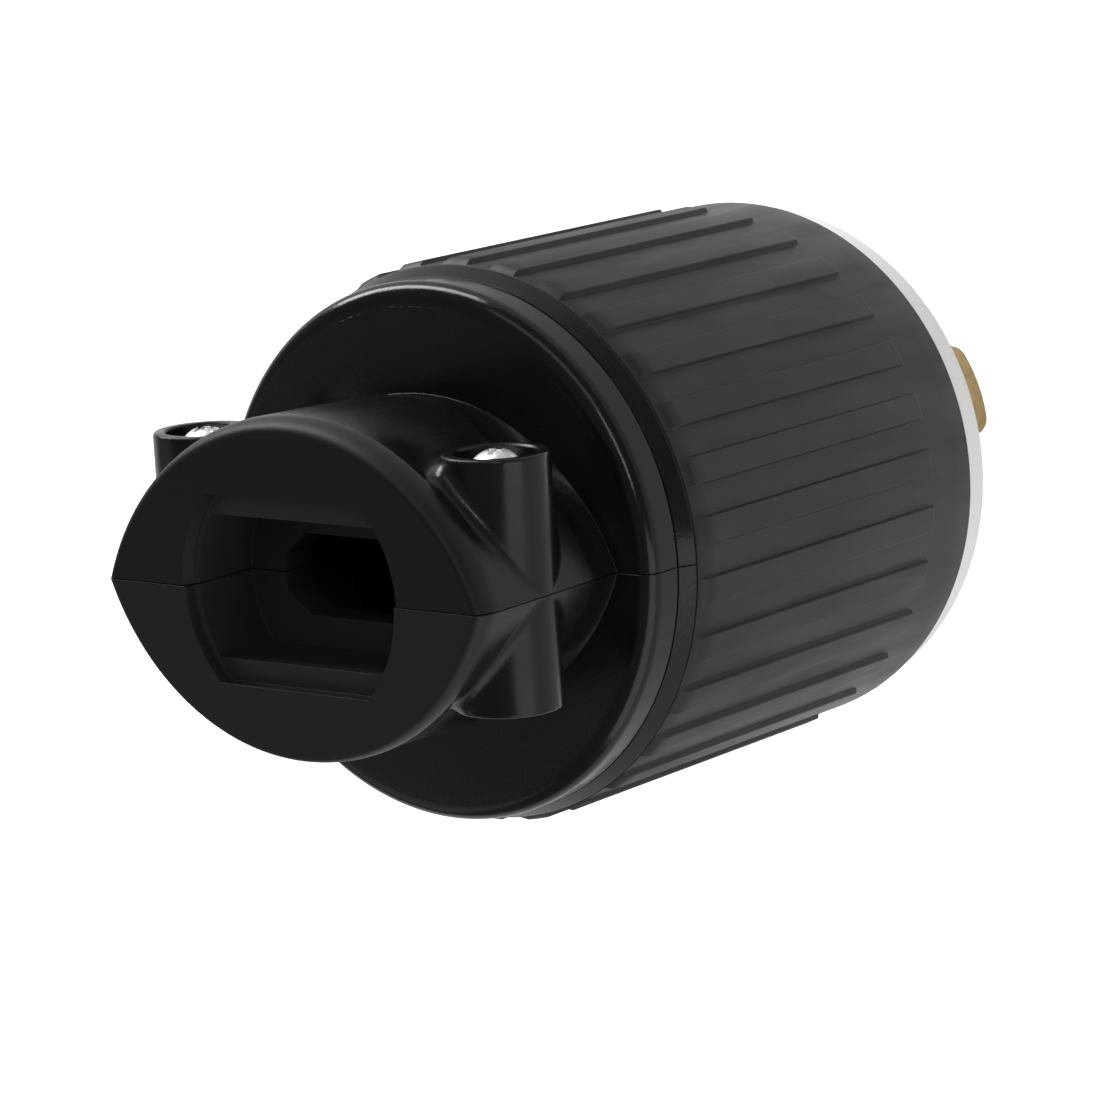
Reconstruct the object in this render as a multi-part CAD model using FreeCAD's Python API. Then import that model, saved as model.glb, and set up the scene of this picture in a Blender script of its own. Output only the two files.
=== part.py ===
"""A locking plug for a four-wire cord: curved blades that twist into a receptacle, a ribbed
grip, and a cord clamp split into two halves.

The plug stands on its blades with the cord end up. The origin is the middle of the circle of
blade tips, +Z runs towards the cord, and the clamp screws lie along Y. Millimetres throughout.
"""
import FreeCAD
import Part

import os
from math import asin, cos, degrees, exp, pi, radians, sin, sqrt

# Lengths along the plug, from the blade tips up
blade_reach = 18.8          # how far the blades stand out of the white face
flange_thick = 4.1          # white face, in front of the grip
sleeve_length = 50.6        # ribbed grip
shoulder_length = 6.6       # from the grip's rear end to the flat disc
clamp_length = 22.3         # from the disc to the flat cord end

# Ribbed grip
grip_r = 29.0               # between the ribs
rib_height = 0.5
rib_count = 30
rib_width_deg = 6.2         # at the rib's foot
rib_flank_deg = 0.5         # how much of that each sloping side takes
rib_start = 7.8             # smooth band in front of the ribs
grip_wall = 3.0
grip_edge = 0.5             # rounding of the front rim
lip_width = 2.8             # rear wall, from the bore inwards
lip_thick = 2.5

# White face and its spigot in the grip
face_step = 0.9             # face rim inside the grip's rim
face_edge = 0.7
spigot_length = 9.1
spigot_gap = 0.2            # spigot in the grip's bore

# Blades
blade_count = 4
blade_r = 16.9              # outside of the blade circle
blade_thick = 2.0
blade_arc_deg = 37.0
first_blade_deg = 20.5
blade_corner = 1.8
blade_lead = 0.4            # chamfer along the tip
notch_deg = 8.0             # locking notch in the leading edge
notch_height = 5.0
notch_above_face = 1.0
ground_leg = 3.2            # inward leg that marks the earthing blade
slot_gap = 0.05             # blade in its slot
ear_width = 12.4            # shoulders that keep the blade from pulling out
ear_height = 1.5

# Wire terminals on the blades' inner ends
tab_width = 9.0
tab_length = 14.0           # above the white spigot
tab_step = 0.5              # flat outer side of the tab, inside the blade circle
terminal_height = 9.0       # screw axis above the spigot
plate_thick = 1.4
plate_height = 8.0
plate_lip = 1.2             # turned edge beside the tab
plate_lip_depth = 1.6
plate_gap = 0.2             # lip beside the tab's edge
terminal_screw_r = 2.0
terminal_head_r = 3.7
terminal_head_height = 2.2
terminal_screw_length = 6.4
terminal_travel = 3.2       # how far screw and plate back off
thread_gap = 0.05           # screw in its thread, radially
shank_gap = 0.35            # screw in a clearance hole, radially
slot_width = 0.9
slot_depth = 1.0

# Block that separates the terminals
block_length = 18.0
block_gap = 0.4             # block in the grip's bore
block_floor = 1.5
pocket_back = 0.8           # behind the tab
tip_room = 3.0              # for the terminal screw's tip
pocket_gap = 0.5            # pressure plate in its pocket, each side

# Long screws through the face
long_screw_inset = 4.5      # from the grip's bore to the screw's axis
long_screw_r = 1.75
long_head_r = 3.0
long_head_height = 2.0
long_head_recess = 3.0
column_r = 3.8
column_length = 12.0
column_roof = 1.5           # left above the screw's hole
insert_r = 2.7
insert_length = 8.0
long_screw_past = 7.0       # into the brass insert

# Shoulder and disc of the two clamp halves
disc_edge = 1.0             # rounding of the disc's border
collar_step = 0.1           # collar inside the grip's rim
collar_length = 1.75
shoulder_step = 0.9         # slope from the collar up to the shoulder
groove_depth = 0.25         # fine line between collar and shoulder
groove_width = 0.25
shell_wall = 2.6
hook_width = 1.0            # flange caught behind the grip's rear wall
hook_thick = 2.4
hook_gap = 0.2
seat_gap = 0.15             # collar above the grip's end
parting_gap = 0.1           # between the two halves

# Cord clamp: an almond in section, with flanks scooped out between the disc and the cord end
almond_margin = 3.5         # from the shoulder's side to the almond's tips
almond_foot_margin = 4.1    # the same at the disc
flat_half_height = 16.3     # of the flat end, inside its rounding
upper_rim_half_height = 17.7
upper_rim_depth = 3.0       # how far the rounding reaches down from the flat end
lower_rim_half_height = 17.0
lower_rim_depth = 2.0
rim_tip = 1.2               # width of the rounding at the side tips
crest_half_height = 17.2
crest_height = 4.0          # above the disc
crest_step = 0.35           # fine step down from the crest to the foot
foot_half_height = 16.7
foot_dip = 0.2              # hollow round the foot
# Foot: share of the crest's height, share of the hollow, share of the scoop.
foot_levels = [(0.0, 0.0, 0.0), (0.12, 0.6, 0.4), (0.35, 1.0, 0.75), (0.65, 0.7, 0.93), (1.0, 0.0, 1.0)]
# Scoop: share of the way from the crest to the rim, and depth there.
scoop_depths = [(0.0, 2.2), (0.22, 3.3), (0.48, 3.8), (0.75, 2.5), (0.92, 0.6), (1.0, 0.0)]
scoop_inset = 3.3           # middle of the scoop, from the screw's axis inwards
scoop_reach = 4.5
boss_blend = 1.6            # where the bosses run into the neck

# Cord opening: a round hole with two flats
mouth_r = 13.3
mouth_flat = 9.6
upper_mouth_chamfer = 0.5
lower_mouth_chamfer = 0.2
mouth_chamfer_depth = 1.1
step_depth = 1.5            # where the flats step in
channel_flat = 7.3
channel_r = 13.0
jaw_depth = 9.7             # jaws below the flat end
jaw_thick = 4.0
jaw_half_width = 8.5
jaw_half_height = 4.2
jaw_corner_x = 2.9
jaw_corner_y = 2.4
throat_flat = 8.6           # passage between the jaws and the disc

# Clamp screws, their bosses and nuts
boss_inset = 5.7            # from the almond's tip to the screw's axis
boss_height = 11.8          # above the disc
boss_r = 5.4
boss_top = 13.9             # screw head side
boss_bottom = 11.6          # nut side
counterbore_r = 4.15
counterbore_depth = 2.4
counterbore_lead = 0.2
boss_edge = 0.3
clamp_screw_r = 1.75
clamp_head_r = 2.6
clamp_head_height = 2.2
clamp_screw_tail = 0.7      # bare end inside the boss
clamp_lift = 1.6            # how far the upper half backs off
nut_flats = 6.0
nut_thick = 2.8
nut_gap = 0.1
nut_pocket_depth = 3.9

# Levels that follow
face_z = blade_reach
sleeve_z = face_z + flange_thick
sleeve_top_z = sleeve_z + sleeve_length
disc_z = sleeve_top_z + shoulder_length
end_z = disc_z + clamp_length
spigot_z = sleeve_z + spigot_length
block_top_z = spigot_z + block_length
column_top_z = block_top_z + column_length
terminal_z = spigot_z + terminal_height
boss_z = disc_z + boss_height
blade_inner_r = blade_r - blade_thick
tab_outer_r = blade_r - tab_step
pocket_inner_r = tab_outer_r - blade_thick - pocket_back
grip_bore_r = grip_r - grip_wall
lip_r = grip_bore_r - lip_width
hook_r = lip_r + hook_width
face_r = grip_r - face_step
collar_r = grip_r - collar_step
shoulder_r = collar_r - shoulder_step
long_screw_ring_r = grip_bore_r - long_screw_inset
almond_half_width = shoulder_r - almond_margin
boss_x = almond_half_width - boss_inset
scoop_x = boss_x - scoop_inset
almond_foot_half_width = shoulder_r - almond_foot_margin
blade_angles = [first_blade_deg + k * 360.0 / blade_count for k in range(blade_count)]
long_screw_angles = [first_blade_deg + 180.0 / blade_count + k * 180.0 for k in range(2)]
blade_names = ["line_x", "ground", "line_y", "neutral"]
bow_points = 17
rim_steps = 4
UP = FreeCAD.Vector(0, 0, 1)


def vec(x, y, z):
    return FreeCAD.Vector(x, y, z)


def disc(radius, low, high, x=0.0, y=0.0):
    """A round bar along Z."""
    return Part.makeCylinder(radius, high - low, vec(x, y, low))


def bar_y(radius, low, high, x, z):
    """A round bar along Y."""
    return Part.makeCylinder(radius, high - low, vec(x, low, z), vec(0, 1, 0))


def box(x0, x1, y0, y1, z0, z1):
    return Part.makeBox(x1 - x0, y1 - y0, z1 - z0, vec(x0, y0, z0))


def turned_about_z(shape, angle):
    copy = shape.copy()
    copy.rotate(vec(0, 0, 0), UP, angle)
    return copy


def revolve(outline, angle=360.0):
    """A solid turned from (radius, height) points."""
    wire = Part.makePolygon([vec(r, 0, z) for r, z in outline + outline[:1]])
    return Part.Face(wire).revolve(vec(0, 0, 0), UP, angle)


def polar(radius, angle, z=0.0):
    return vec(radius * cos(radians(angle)), radius * sin(radians(angle)), z)


def arc_edge(radius, start, end, z=0.0):
    middle = (start + end) / 2
    return Part.Arc(polar(radius, start, z), polar(radius, middle, z), polar(radius, end, z)).toShape()


def line_edge(a, b):
    return Part.LineSegment(a, b).toShape()


def prism(edges, height):
    return Part.Face(Part.Wire(edges)).extrude(vec(0, 0, height))


def hexagon(flats, low, high, x, z):
    """A hexagonal bar along Y, with two of its flats across Z."""
    corner = flats / sqrt(3)
    points = [vec(x + corner * cos(k * pi / 3), low, z + corner * sin(k * pi / 3)) for k in range(7)]
    return Part.Face(Part.makePolygon(points)).extrude(vec(0, high - low, 0))


def edges_where(shape, test):
    return [edge for edge in shape.Edges if test(edge)]


def save(name, shape):
    shape = shape.removeSplitter()
    if not shape.isValid() or shape.Volume <= 0:
        raise ValueError(name + " is not a sound solid")
    shape.exportStep("parts/" + name + ".step")
    print(name, "volume %.1f" % shape.Volume, "solids", len(shape.Solids), "faces", len(shape.Faces))


# Ribbed grip
def rib_outline(z):
    """Cross-section of the ribbed part: arcs on the ribs and between them, joined by short flanks."""
    edges = []
    pitch = 360.0 / rib_count
    top = grip_r + rib_height
    for k in range(rib_count):
        middle = (k + 0.5) * pitch
        foot_0, foot_1 = middle - rib_width_deg / 2, middle + rib_width_deg / 2
        crest_0, crest_1 = foot_0 + rib_flank_deg, foot_1 - rib_flank_deg
        next_foot = foot_0 + pitch
        edges.append(line_edge(polar(grip_r, foot_0, z), polar(top, crest_0, z)))
        edges.append(arc_edge(top, crest_0, crest_1, z))
        edges.append(line_edge(polar(top, crest_1, z), polar(grip_r, foot_1, z)))
        edges.append(arc_edge(grip_r, foot_1, next_foot, z))
    return edges


def grip_column(angle):
    """Boss on the grip's wall that takes the brass insert of one long screw."""
    column = disc(column_r, block_top_z, column_top_z, long_screw_ring_r)
    web = box(long_screw_ring_r, grip_bore_r + 0.5, -column_r, column_r, block_top_z, column_top_z)
    return turned_about_z(column.fuse(web), angle)


def make_grip():
    front = disc(grip_r, sleeve_z, sleeve_z + rib_start)
    rim = edges_where(front, lambda e: e.BoundBox.ZMax < sleeve_z + 0.01)
    front = front.makeFillet(grip_edge, rim)
    ribbed = prism(rib_outline(sleeve_z + rib_start), sleeve_length - rib_start)
    body = front.fuse(ribbed)
    past_r = grip_r + 2 * rib_height
    rib_end_z = sleeve_top_z - 2 * rib_height * collar_length / shoulder_step
    sloping_end = [(0, sleeve_z), (past_r, sleeve_z), (past_r, rib_end_z), (grip_r, sleeve_top_z),
                   (0, sleeve_top_z)]
    body = body.common(revolve(sloping_end))
    body = body.cut(disc(grip_bore_r, sleeve_z, sleeve_top_z - lip_thick))
    body = body.cut(disc(lip_r, sleeve_z, sleeve_top_z))
    limit = disc(grip_bore_r + 0.5, block_top_z, column_top_z)
    for angle in long_screw_angles:
        body = body.fuse(grip_column(angle).common(limit))
    for angle in long_screw_angles:
        hole = disc(insert_r, block_top_z, block_top_z + insert_length, long_screw_ring_r)
        relief = disc(long_screw_r + shank_gap, block_top_z, column_top_z - column_roof, long_screw_ring_r)
        body = body.cut(turned_about_z(hole.fuse(relief), angle))
    return body


# White face
def blade_bar(grow, low, high):
    """The curved blade as a bar from low to high, grown by a clearance."""
    half = blade_arc_deg / 2 + degrees(grow / blade_r)
    outer = blade_r + grow
    inner = blade_inner_r - grow
    edges = [arc_edge(outer, -half, half, low), line_edge(polar(outer, half, low), polar(inner, half, low)),
             arc_edge(inner, half, -half, low),
             line_edge(polar(inner, -half, low), polar(outer, -half, low))]
    return prism(edges, high - low)


def blade_leg(grow, low, high):
    """The inward leg of the earthing blade."""
    leg = box(blade_inner_r - ground_leg - grow, blade_r - 0.4, -blade_thick - grow, grow, low, high)
    return turned_about_z(leg, blade_arc_deg / 2)


def make_face():
    flange = disc(face_r, face_z, sleeve_z)
    rim = edges_where(flange, lambda e: e.BoundBox.ZMax < face_z + 0.01)
    body = flange.makeFillet(face_edge, rim).fuse(disc(grip_bore_r - spigot_gap, sleeve_z, spigot_z))
    for name, angle in zip(blade_names, blade_angles):
        slot = blade_bar(slot_gap, face_z, spigot_z)
        if name == "ground":
            slot = slot.fuse(blade_leg(slot_gap, face_z, spigot_z))
        body = body.cut(turned_about_z(slot, angle))
        body = body.cut(tab_bar(angle, ear_width + 2 * slot_gap, slot_gap, spigot_z - ear_height, spigot_z))
    for angle in long_screw_angles:
        hole = disc(long_screw_r + shank_gap, face_z, spigot_z, long_screw_ring_r)
        recess = disc(long_head_r + shank_gap, face_z, face_z + long_head_recess, long_screw_ring_r)
        body = body.cut(turned_about_z(hole.fuse(recess), angle))
    return body


# Blades and terminals, drawn on +X and turned to their places
def tab_bar(angle, width, grow, low, high):
    bar = box(tab_outer_r - blade_thick - grow, tab_outer_r + grow, -width / 2, width / 2, low, high)
    return turned_about_z(bar, angle)


def make_blade(name, angle):
    """Curved blade below, flat terminal tab above, with ears between them."""
    ear_z = spigot_z - ear_height
    blade = blade_bar(0.0, 0.0, ear_z)
    half = blade_arc_deg / 2
    notch_top = face_z - notch_above_face
    cutter = Part.makeCylinder(blade_r + 1, notch_height, vec(0, 0, notch_top - notch_height), UP, notch_deg)
    cutter = cutter.cut(disc(blade_inner_r - 0.5, 0, face_z))
    cutter.rotate(vec(0, 0, 0), UP, -half)
    blade = blade.cut(cutter)

    def at_corner(edge):
        low_end = edge.BoundBox.ZMax < 0.01
        middle = edge.CenterOfMass
        turn = degrees(asin(middle.y / sqrt(middle.x ** 2 + middle.y ** 2)))
        return low_end and abs(abs(turn) - half) < 0.5 and edge.Length < blade_thick + 0.01

    corners = edges_where(blade, at_corner)
    blade = blade.makeFillet(blade_corner, corners)

    def along_tip(edge):
        middle = edge.CenterOfMass
        reach = sqrt(middle.x ** 2 + middle.y ** 2)
        return edge.BoundBox.ZMax < 0.01 and edge.Length > blade_thick + 1 and reach > blade_inner_r - 1

    blade = blade.makeChamfer(blade_lead, edges_where(blade, along_tip))
    if name == "ground":
        blade = blade.fuse(blade_leg(0.0, blade_corner, ear_z))
    tab = tab_bar(0.0, tab_width, 0.0, ear_z, spigot_z + tab_length)
    ears = tab_bar(0.0, ear_width, 0.0, ear_z, spigot_z)
    hole = Part.makeCylinder(terminal_screw_r + thread_gap, blade_thick + 1,
                             vec(tab_outer_r - blade_thick - 0.5, 0, terminal_z), vec(1, 0, 0))
    return turned_about_z(blade.fuse(ears).fuse(tab).cut(hole), angle)


def make_wire_plate(angle):
    """Pressure plate with two turned edges that straddle the tab."""
    inner_half = tab_width / 2 + plate_gap
    outer_half = inner_half + plate_lip
    low, high = terminal_z - plate_height / 2, terminal_z + plate_height / 2
    plate = box(tab_outer_r, tab_outer_r + plate_thick, -outer_half, outer_half, low, high)
    for side in (-1, 1):
        edge_0, edge_1 = sorted((side * inner_half, side * outer_half))
        plate = plate.fuse(box(tab_outer_r - plate_lip_depth, tab_outer_r, edge_0, edge_1, low, high))
    hole = Part.makeCylinder(terminal_screw_r + shank_gap, plate_thick,
                             vec(tab_outer_r, 0, terminal_z), vec(1, 0, 0))
    return turned_about_z(plate.cut(hole), angle)


def screw(shank_r, length, head_r, head_height):
    """Round-head screw along +Z: the head's seat is at zero and its top carries a slot."""
    shank = disc(shank_r, -length, 0.0)
    tip = edges_where(shank, lambda e: e.BoundBox.ZMax < -length + 0.01)
    shank = shank.makeChamfer(0.4, tip)
    crown = head_height * 0.55
    dome_r = (head_r ** 2 + crown ** 2) / (2 * crown)
    ball = Part.makeSphere(dome_r, vec(0, 0, head_height - dome_r))
    head = disc(head_r, 0.0, head_height + 0.1).common(ball)
    slot = box(-head_r, head_r, -slot_width / 2, slot_width / 2, head_height - slot_depth, head_height + 1)
    return shank.fuse(head).cut(slot)


def make_terminal_screw(angle):
    shape = screw(terminal_screw_r, terminal_screw_length, terminal_head_r, terminal_head_height)
    shape.rotate(vec(0, 0, 0), vec(0, 1, 0), 90)
    shape.translate(vec(tab_outer_r + plate_thick, 0, terminal_z))
    return turned_about_z(shape, angle)


def make_block():
    """Moulded block with one open pocket for each terminal."""
    body = disc(grip_bore_r - block_gap, spigot_z, block_top_z)
    pocket_half = tab_width / 2 + plate_gap + plate_lip + pocket_gap
    floor_z = spigot_z + block_floor
    for angle in blade_angles:
        pocket = box(pocket_inner_r, grip_bore_r, -pocket_half, pocket_half, floor_z, block_top_z)
        tip_hole = Part.makeCylinder(terminal_screw_r + shank_gap, tip_room + blade_thick,
                                     vec(pocket_inner_r - tip_room, 0, terminal_z), vec(1, 0, 0))
        body = body.cut(turned_about_z(pocket.fuse(tip_hole), angle))
        body = body.cut(tab_bar(angle, tab_width + 2 * slot_gap, slot_gap, spigot_z, floor_z))
    for angle in long_screw_angles:
        hole = disc(long_screw_r + shank_gap, spigot_z, block_top_z, long_screw_ring_r)
        body = body.cut(turned_about_z(hole, angle))
    return body


# Long screws and their brass inserts
def make_long_screw(angle):
    seat = face_z + long_head_recess
    length = block_top_z + long_screw_past - seat
    shape = screw(long_screw_r, length, long_head_r, long_head_height)
    shape.rotate(vec(0, 0, 0), vec(1, 0, 0), 180)
    shape.translate(vec(long_screw_ring_r, 0, seat))
    return turned_about_z(shape, angle)


def make_insert(angle):
    sleeve = disc(insert_r, block_top_z, block_top_z + insert_length, long_screw_ring_r)
    bore = disc(long_screw_r + thread_gap, block_top_z, block_top_z + insert_length, long_screw_ring_r)
    return turned_about_z(sleeve.cut(bore), angle)


# Cord clamp halves. Both are drawn on +Y, and the lower one is turned over at the end.
def half_width(z):
    """Half width of the almond on the parting plane."""
    grow = (almond_half_width - almond_foot_half_width) / clamp_length
    return almond_foot_half_width + grow * (z - disc_z)


def almond_wire(width, height, z, scoop=0.0):
    """Half an almond: a bow over the parting plane, with hollow flanks where there is a scoop."""
    bow_r = (width ** 2 + height ** 2) / (2 * height)
    points = []
    for k in range(bow_points):
        x = width * cos(pi * k / (bow_points - 1))
        bow = sqrt(bow_r ** 2 - x ** 2) - (bow_r - height)
        taper = 1.0 - (x / width) ** 8
        hollow = scoop * taper * exp(-((abs(x) - scoop_x) / scoop_reach) ** 2)
        points.append(vec(x, max(bow - hollow, 0.0), z))
    curve = Part.BSplineCurve()
    curve.interpolate(points)
    return Part.Wire([curve.toShape(), line_edge(points[-1], points[0])])


def almond_half(rim_half_height, rim_depth):
    """Half of the almond: a hollow foot on the disc, the scooped neck, and the rim round the flat end."""
    under = disc_z - shell_wall
    crest_z = disc_z + crest_height
    rim_z = end_z - rim_depth
    low_foot = almond_wire(half_width(disc_z), foot_half_height, under)
    foot = Part.makeLoft([low_foot, almond_wire(half_width(disc_z), foot_half_height, disc_z)], True, True)
    sections = []
    for share, dip, scooped in foot_levels:
        z = disc_z + share * crest_height
        height = foot_half_height + (crest_half_height - crest_step - foot_half_height) * share
        scoop = scoop_depths[0][1] * scooped
        sections.append(almond_wire(half_width(z) - dip * foot_dip, height - dip * foot_dip, z, scoop))
    hollow = Part.makeLoft(sections, True, False)
    sections = []
    for share, scoop in scoop_depths:
        z = crest_z + (rim_z - crest_z) * share
        height = crest_half_height + (rim_half_height - crest_half_height) * share
        sections.append(almond_wire(half_width(z), height, z, scoop))
    neck = Part.makeLoft(sections, True, False)
    sections = []
    for k in range(rim_steps + 1):
        turn = pi / 2 * k / rim_steps
        inward = 1 - cos(turn)
        height = rim_half_height - (rim_half_height - flat_half_height) * inward
        z = rim_z + rim_depth * sin(turn)
        sections.append(almond_wire(half_width(z) - rim_tip * inward, height, z))
    rim = Part.makeLoft(sections, True, False)
    return foot.fuse(hollow).fuse(neck).fuse(rim)


def flat_round(radius, flat, low, high):
    """A round bar along Z with flats across Y."""
    return disc(radius, low, high).common(box(-radius, radius, -flat, flat, low, high))


def mouth_wire(radius, flat, z):
    turn = degrees(asin(flat / radius))
    return Part.Wire([arc_edge(radius, -turn, turn, z),
                      line_edge(polar(radius, turn, z), polar(radius, 180 - turn, z)),
                      arc_edge(radius, 180 - turn, 180 + turn, z),
                      line_edge(polar(radius, 180 + turn, z), polar(radius, -turn, z))])


def cord_passage(mouth_chamfer):
    """Everything hollow in the clamp: bell mouth, channel, eight-sided gap between the jaws, throat."""
    step_z = end_z - step_depth
    jaw_top = end_z - jaw_depth
    jaw_low = jaw_top - jaw_thick
    bell = Part.makeLoft([mouth_wire(mouth_r, mouth_flat, end_z - mouth_chamfer_depth),
                          mouth_wire(mouth_r + mouth_chamfer, mouth_flat, end_z)], True, True)
    room = flat_round(mouth_r, mouth_flat, step_z, end_z)
    channel = flat_round(channel_r, channel_flat, jaw_top, step_z)
    inner_x, inner_y = jaw_half_width - jaw_corner_x, jaw_half_height - jaw_corner_y
    corners = [(jaw_half_width, inner_y), (inner_x, jaw_half_height), (-inner_x, jaw_half_height),
               (-jaw_half_width, inner_y), (-jaw_half_width, -inner_y), (-inner_x, -jaw_half_height),
               (inner_x, -jaw_half_height), (jaw_half_width, -inner_y), (jaw_half_width, inner_y)]
    jaw_wire = Part.makePolygon([vec(x, y, jaw_low) for x, y in corners])
    jaws = Part.Face(jaw_wire).extrude(vec(0, 0, jaw_thick))
    throat = flat_round(channel_r, throat_flat, disc_z - shell_wall - 1, jaw_low)
    return bell.fuse(room).fuse(channel).fuse(jaws).fuse(throat)


def shoulder_half():
    """Half of the turned part: hook flange, neck in the grip's rear wall, sloping collar, shoulder, disc."""
    lip_low = sleeve_top_z - lip_thick
    neck_r = lip_r - hook_gap
    inner_r = neck_r - shell_wall
    collar_z = sleeve_top_z + seat_gap
    collar_top = collar_z + collar_length
    room_r = shoulder_r - shell_wall
    room_top = disc_z - shell_wall
    outline = [(inner_r, lip_low - hook_gap - hook_thick), (hook_r, lip_low - hook_gap - hook_thick),
               (hook_r, lip_low - hook_gap), (neck_r, lip_low - hook_gap), (neck_r, collar_z),
               (collar_r, collar_z), (shoulder_r, collar_top), (shoulder_r - groove_depth, collar_top),
               (shoulder_r - groove_depth, collar_top + groove_width),
               (shoulder_r, collar_top + groove_width),
               (shoulder_r, disc_z), (0, disc_z), (0, room_top), (room_r, room_top),
               (room_r, collar_top), (inner_r, collar_z)]
    turned = revolve(outline, 180.0)
    edge = edges_where(turned, lambda e: e.BoundBox.ZMin > disc_z - 0.01 and e.Length > 2.5 * shoulder_r)
    return turned.makeFillet(disc_edge, edge)


def make_boss(top, x):
    boss = bar_y(boss_r, 0.0, top, x, boss_z)
    return boss.makeFillet(boss_edge, edges_where(boss, lambda e: e.BoundBox.YMin > top - 0.01))


def clamp_half(top, screw_side, rim_half_height, rim_depth, mouth_chamfer):
    almond = almond_half(rim_half_height, rim_depth)
    for side in (-1, 1):
        almond = almond.fuse(make_boss(top, side * boss_x))

    def at_boss_foot(edge):
        """True on the lines where a boss runs into the neck."""
        ends = [edge.valueAt(edge.FirstParameter), edge.valueAt(edge.LastParameter)]
        off = [abs(sqrt((abs(p.x) - boss_x) ** 2 + (p.z - boss_z) ** 2) - boss_r) for p in ends]
        return max(off) < 0.01 and edge.BoundBox.ZLength > 1.0 and edge.BoundBox.YLength > 1.0

    almond = almond.removeSplitter()
    almond = almond.makeFillet(boss_blend, edges_where(almond, at_boss_foot))
    half = shoulder_half().fuse(almond)
    half = half.cut(cord_passage(mouth_chamfer))
    for side in (-1, 1):
        x = side * boss_x
        half = half.cut(bar_y(clamp_screw_r + shank_gap, -1.0, top + 1, x, boss_z))
        if screw_side:
            lead = Part.makeCone(counterbore_r, counterbore_r + counterbore_lead, counterbore_lead,
                                 vec(x, top - counterbore_lead, boss_z), vec(0, 1, 0))
            half = half.cut(bar_y(counterbore_r, top - counterbore_depth, top + 1, x, boss_z).fuse(lead))
        else:
            half = half.cut(hexagon(nut_flats + 2 * nut_gap, top - nut_pocket_depth, top + 1, x, boss_z))
    low = sleeve_top_z - lip_thick - hook_gap - hook_thick
    keep = box(-2 * shoulder_r, 2 * shoulder_r, parting_gap / 2, 2 * shoulder_r, low, end_z)
    return half.common(keep)


def make_clamp_upper():
    """Screw side. Its neck is relieved so that this half can back off when the screws are loosened."""
    half = clamp_half(boss_top, True, upper_rim_half_height, upper_rim_depth, upper_mouth_chamfer)
    neck_r = lip_r - hook_gap
    low = sleeve_top_z - lip_thick - hook_gap
    high = sleeve_top_z + seat_gap
    ring = disc(neck_r + 1, low, high).cut(disc(neck_r, low, high, 0.0, -clamp_lift))
    return half.cut(ring)


def make_clamp_lower():
    """Nut side, turned over onto -Y by mirroring, so both halves meet along the same outline."""
    half = clamp_half(boss_bottom, False, lower_rim_half_height, lower_rim_depth, lower_mouth_chamfer)
    return half.mirror(vec(0, 0, 0), vec(0, 1, 0))


def make_clamp_screw(side):
    seat = boss_top - counterbore_depth
    length = seat + boss_bottom - clamp_screw_tail
    shape = screw(clamp_screw_r, length, clamp_head_r, clamp_head_height)
    shape.rotate(vec(0, 0, 0), vec(1, 0, 0), -90)
    shape.translate(vec(side * boss_x, seat, boss_z))
    return shape


def make_clamp_nut(side):
    high = nut_pocket_depth - boss_bottom
    nut = hexagon(nut_flats, high - nut_thick, high, side * boss_x, boss_z)
    return nut.cut(bar_y(clamp_screw_r + thread_gap, high - nut_thick, high, side * boss_x, boss_z))


os.makedirs("parts", exist_ok=True)
save("grip_sleeve", make_grip())
save("white_face", make_face())
save("terminal_block", make_block())
for name, angle in zip(blade_names, blade_angles):
    save("blade_" + name, make_blade(name, angle))
    save("wire_plate_" + name, make_wire_plate(angle))
    save("terminal_screw_" + name, make_terminal_screw(angle))
for number, angle in enumerate(long_screw_angles, 1):
    save("long_screw_%d" % number, make_long_screw(angle))
    save("screw_insert_%d" % number, make_insert(angle))
save("clamp_upper", make_clamp_upper())
save("clamp_lower", make_clamp_lower())
for side_name, side in (("left", -1), ("right", 1)):
    save("clamp_screw_" + side_name, make_clamp_screw(side))
    save("clamp_nut_" + side_name, make_clamp_nut(side))
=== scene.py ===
"""The looks of a locking plug: a ribbed black grip, a white face with brass blades, a split cord clamp."""

from math import cos, hypot, pi, radians, sin

import bmesh
import bpy
from mathutils import Matrix, Vector


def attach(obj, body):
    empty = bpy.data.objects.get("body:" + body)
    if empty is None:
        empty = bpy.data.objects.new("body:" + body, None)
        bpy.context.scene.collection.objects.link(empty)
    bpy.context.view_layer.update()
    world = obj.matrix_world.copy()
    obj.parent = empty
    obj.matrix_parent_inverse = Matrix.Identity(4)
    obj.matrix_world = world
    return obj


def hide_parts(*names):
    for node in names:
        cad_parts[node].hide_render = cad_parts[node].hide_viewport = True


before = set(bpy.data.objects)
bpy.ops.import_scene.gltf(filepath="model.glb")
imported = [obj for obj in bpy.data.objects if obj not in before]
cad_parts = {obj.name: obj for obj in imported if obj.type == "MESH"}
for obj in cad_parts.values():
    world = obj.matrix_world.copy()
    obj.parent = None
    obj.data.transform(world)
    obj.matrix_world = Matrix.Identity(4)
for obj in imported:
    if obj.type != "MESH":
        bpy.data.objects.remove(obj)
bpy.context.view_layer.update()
MM = 0.001


# Camera: a long lens behind and above the cord end, with the plug's +Y side up in the picture.
# The place was fitted to the ribs, rims, clamp and blade in the photograph.
camera_place = Vector((301.50, 90.88, 445.45)) * MM
camera_look = Vector((-0.605177, -0.188816, -0.773375))
camera_up = Vector((-0.072834, 0.980524, -0.182397))
focal_pixels = 4727.2
frame_pixels = 1100.0


def put(name, data):
    """A new object in the scene."""
    thing = bpy.data.objects.new(name, data)
    bpy.context.scene.collection.objects.link(thing)
    return thing


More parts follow.
